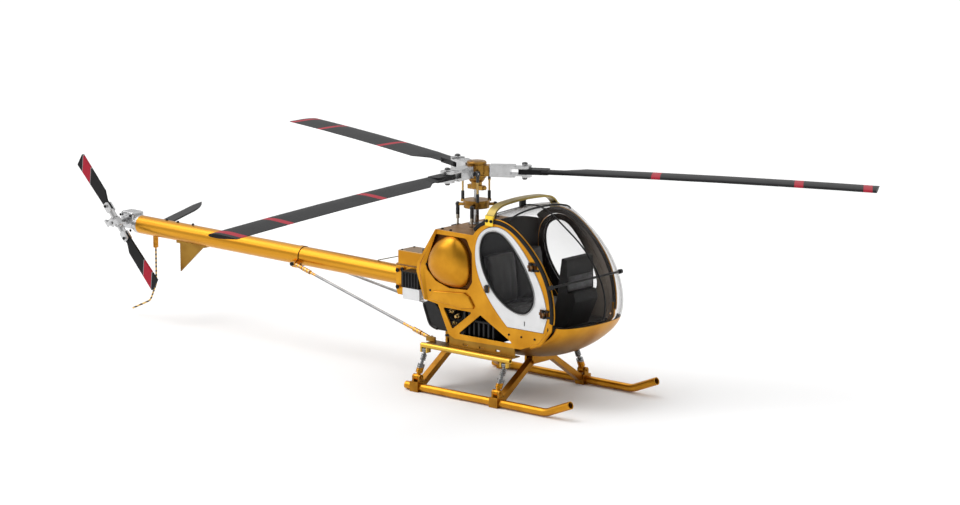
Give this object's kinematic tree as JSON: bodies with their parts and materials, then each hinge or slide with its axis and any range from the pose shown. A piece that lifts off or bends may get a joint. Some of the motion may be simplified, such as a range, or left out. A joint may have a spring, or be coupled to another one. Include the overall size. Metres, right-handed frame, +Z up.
{
  "type": "remote control helicopter",
  "caption": "Single-rotor model helicopter with clear bubble cabin, hinged doors, anodised metal frame, round tail boom, tail rotor and sprung skids",
  "frame": {"origin": "on the ground under the rotor mast, level with the underside of the skid shoes", "axes": "+X to the nose, +Y to the left side, +Z up along the mast"},
  "size_m": [1.0237, 0.6931, 0.2558],
  "materials": {
    "brown_anodised": "brown anodised",
    "black_metal": "black satin",
    "blade_black": "satin black with red bands",
    "wrapped_wire": "wrapped with gold and black thread",
    "gold_anodised": "gold anodised",
    "silver_aluminium": "machined",
    "steel": "ground",
    "black_plastic": "moulded",
    "dark_plastic": "moulded",
    "white_plastic": "moulded",
    "clear_smoke": "polished",
    "tinted": "polished",
    "seat_leather": "grained",
    "battery_wrap": "shrink wrap"
  },
  "bodies": {
    "airframe": {"side_plate_right": "gold_anodised", "side_plate_left": "gold_anodised", "frame_panels": "black_plastic", "mast_decks": "brown_anodised", "shaft_bearings": "steel", "belly_shell": "gold_anodised", "canopy": "clear_smoke", "cross_rod": "black_metal", "roof_handle": "gold_anodised", "seat_bench": "seat_leather", "instrument_console": "black_plastic", "battery_pack": "battery_wrap", "fuel_tanks": "gold_anodised", "engine_cooling": "black_plastic", "receiver_box": "gold_anodised", "servos": "black_plastic", "muffler": "silver_aluminium", "boom_clamps": "gold_anodised", "boom_tube": "gold_anodised", "boom_struts": "silver_aluminium", "stabiliser": "blade_black", "ventral_fin": "gold_anodised", "tail_skid": "wrapped_wire", "tail_gearbox": "silver_aluminium", "gear_crossbeams": "gold_anodised", "step_boards": "gold_anodised", "door_hinges": "black_metal"},
    "main_rotor": {"rotor_mast": "steel", "main_gear": "black_plastic", "rotor_hub": "gold_anodised"},
    "motor_body": {"motor": "dark_plastic"},
    "tail_drive": {"tail_shaft": "steel"},
    "tail_rotor": {"tail_rotor_hub": "steel"},
    "tail_slider": {"tail_pitch_slider": "silver_aluminium"},
    "tail_grip_1": {"tail_blade_grip_1": "silver_aluminium", "tail_blade_1": "blade_black"},
    "tail_grip_2": {"tail_blade_grip_2": "silver_aluminium", "tail_blade_2": "blade_black"},
    "swash_lower": {"lower_swash_ring": "gold_anodised", "pushrods": "black_plastic"},
    "swash_upper": {"upper_swash_ring": "gold_anodised", "grip_links": "black_plastic"},
    "grip_1": {"blade_grip_1": "silver_aluminium"},
    "grip_2": {"blade_grip_2": "silver_aluminium"},
    "grip_3": {"blade_grip_3": "silver_aluminium"},
    "blade_1": {"main_blade_1": "blade_black"},
    "blade_2": {"main_blade_2": "blade_black"},
    "blade_3": {"main_blade_3": "blade_black"},
    "door_r": {"door_right": "white_plastic", "door_window_right": "tinted"},
    "door_l": {"door_left": "white_plastic", "door_window_left": "tinted"},
    "gear_right": {"skid_tube_right": "gold_anodised", "gear_legs_right": "gold_anodised"},
    "oleo_top_right": {"oleo_rods_right": "silver_aluminium"},
    "oleo_foot_right": {"oleo_cylinders_right": "silver_aluminium"},
    "gear_left": {"skid_tube_left": "gold_anodised", "gear_legs_left": "gold_anodised"},
    "oleo_top_left": {"oleo_rods_left": "silver_aluminium"},
    "oleo_foot_left": {"oleo_cylinders_left": "silver_aluminium"}
  },
  "joints": [
    {"name": "main_rotor_spin", "type": "hinge", "parent": "airframe", "child": "main_rotor", "pos_m": [0, 0, 0.245], "axis": [0, 0, 1], "continuous": true},
    {"name": "motor_spin", "type": "hinge", "parent": "airframe", "child": "motor_body", "pos_m": [0.02546, 0.02546, 0.125], "axis": [0, 0, 1], "continuous": true},
    {"name": "tail_shaft_spin", "type": "hinge", "parent": "airframe", "child": "tail_drive", "pos_m": [0, 0, 0.114], "axis": [0.9999, 0, -0.0111], "continuous": true},
    {"name": "tail_rotor_spin", "type": "hinge", "parent": "airframe", "child": "tail_rotor", "pos_m": [-0.55757, -0.025, 0.1202], "axis": [0, 1, 0], "continuous": true},
    {"name": "tail_pitch_slide", "type": "slide", "parent": "tail_rotor", "child": "tail_slider", "axis": [0, 1, 0], "range_m": [-0.0012, 0.0012]},
    {"name": "tail_pitch_1", "type": "hinge", "parent": "tail_rotor", "child": "tail_grip_1", "pos_m": [-0.55757, -0.025, 0.1202], "axis": [-0.6652, 0, 0.7466], "range_deg": [-10, 10]},
    {"name": "tail_pitch_2", "type": "hinge", "parent": "tail_rotor", "child": "tail_grip_2", "pos_m": [-0.55757, -0.025, 0.1202], "axis": [0.6652, 0, -0.7466], "range_deg": [-10, 10]},
    {"name": "swash_slide", "type": "slide", "parent": "airframe", "child": "swash_lower", "axis": [0, 0, 1], "range_m": [-0.0019, 0.0019]},
    {"name": "swash_spin", "type": "hinge", "parent": "swash_lower", "child": "swash_upper", "pos_m": [0, 0, 0.2073], "axis": [0, 0, 1], "continuous": true},
    {"name": "blade_pitch_1", "type": "hinge", "parent": "main_rotor", "child": "grip_1", "pos_m": [0, 0, 0.245], "axis": [0.829, 0.5592, 0], "range_deg": [-10, 10]},
    {"name": "blade_lag_1", "type": "hinge", "parent": "grip_1", "child": "blade_1", "pos_m": [0.04518, 0.03048, 0.245], "axis": [0, 0, 1], "range_deg": [-20, 20]},
    {"name": "blade_pitch_2", "type": "hinge", "parent": "main_rotor", "child": "grip_2", "pos_m": [0, 0, 0.245], "axis": [-0.8988, 0.4384, 0], "range_deg": [-10, 10]},
    {"name": "blade_lag_2", "type": "hinge", "parent": "grip_2", "child": "blade_2", "pos_m": [-0.04898, 0.02389, 0.245], "axis": [0, 0, 1], "range_deg": [-20, 20]},
    {"name": "blade_pitch_3", "type": "hinge", "parent": "main_rotor", "child": "grip_3", "pos_m": [0, 0, 0.245], "axis": [0.0698, -0.9976, 0], "range_deg": [-10, 10]},
    {"name": "blade_lag_3", "type": "hinge", "parent": "grip_3", "child": "blade_3", "pos_m": [0.0038, -0.05437, 0.245], "axis": [0, 0, 1], "range_deg": [-20, 20]},
    {"name": "door_right_swing", "type": "hinge", "parent": "airframe", "child": "door_r", "pos_m": [0.1462, -0.0584, 0.1087], "axis": [-0.3191, 0, 0.9477], "range_deg": [0, 100]},
    {"name": "door_left_swing", "type": "hinge", "parent": "airframe", "child": "door_l", "pos_m": [0.1462, 0.0584, 0.1087], "axis": [0.3191, 0, -0.9477], "range_deg": [0, 100]},
    {"name": "gear_right_swing", "type": "hinge", "parent": "airframe", "child": "gear_right", "pos_m": [0.0365, -0.016, 0.043], "axis": [-1, 0, 0], "range_deg": [0, 5], "stiffness_Nm_per_rad": 20, "springref_deg": -2.01},
    {"name": "oleo_right_swing", "type": "hinge", "parent": "airframe", "child": "oleo_top_right", "pos_m": [0.0365, -0.062, 0.045], "axis": [-1, 0, 0], "range_deg": [0, 10]},
    {"name": "oleo_right_slide", "type": "slide", "parent": "oleo_top_right", "child": "oleo_foot_right", "axis": [0, 0.422, 0.9066], "range_m": [0, 0.004]},
    {"name": "gear_left_swing", "type": "hinge", "parent": "airframe", "child": "gear_left", "pos_m": [0.0365, 0.016, 0.043], "axis": [1, 0, 0], "range_deg": [0, 5], "stiffness_Nm_per_rad": 20, "springref_deg": -2.01},
    {"name": "oleo_left_swing", "type": "hinge", "parent": "airframe", "child": "oleo_top_left", "pos_m": [0.0365, 0.062, 0.045], "axis": [1, 0, 0], "range_deg": [0, 10]},
    {"name": "oleo_left_slide", "type": "slide", "parent": "oleo_top_left", "child": "oleo_foot_left", "axis": [0, -0.422, 0.9066], "range_m": [0, 0.004]}
  ],
  "couplings": [
    {"joint": "motor_spin", "follows": "main_rotor_spin", "ratio": -4},
    {"joint": "tail_shaft_spin", "follows": "main_rotor_spin", "ratio": 4},
    {"joint": "tail_rotor_spin", "follows": "main_rotor_spin", "ratio": 4},
    {"joint": "tail_pitch_1", "follows": "tail_pitch_slide", "rad_per_m": -131.58},
    {"joint": "tail_pitch_2", "follows": "tail_pitch_slide", "rad_per_m": -131.58},
    {"joint": "swash_spin", "follows": "main_rotor_spin", "ratio": 1},
    {"joint": "blade_pitch_1", "follows": "swash_slide", "rad_per_m": 89.286},
    {"joint": "blade_pitch_2", "follows": "swash_slide", "rad_per_m": 89.286},
    {"joint": "blade_pitch_3", "follows": "swash_slide", "rad_per_m": 89.286},
    {"joint": "oleo_right_swing", "follows": "gear_right_swing", "ratio": 1.6847},
    {"joint": "oleo_right_slide", "follows": "gear_right_swing", "m_per_rad": 0.041145},
    {"joint": "oleo_left_swing", "follows": "gear_left_swing", "ratio": 1.6847},
    {"joint": "oleo_left_slide", "follows": "gear_left_swing", "m_per_rad": 0.041145}
  ]
}
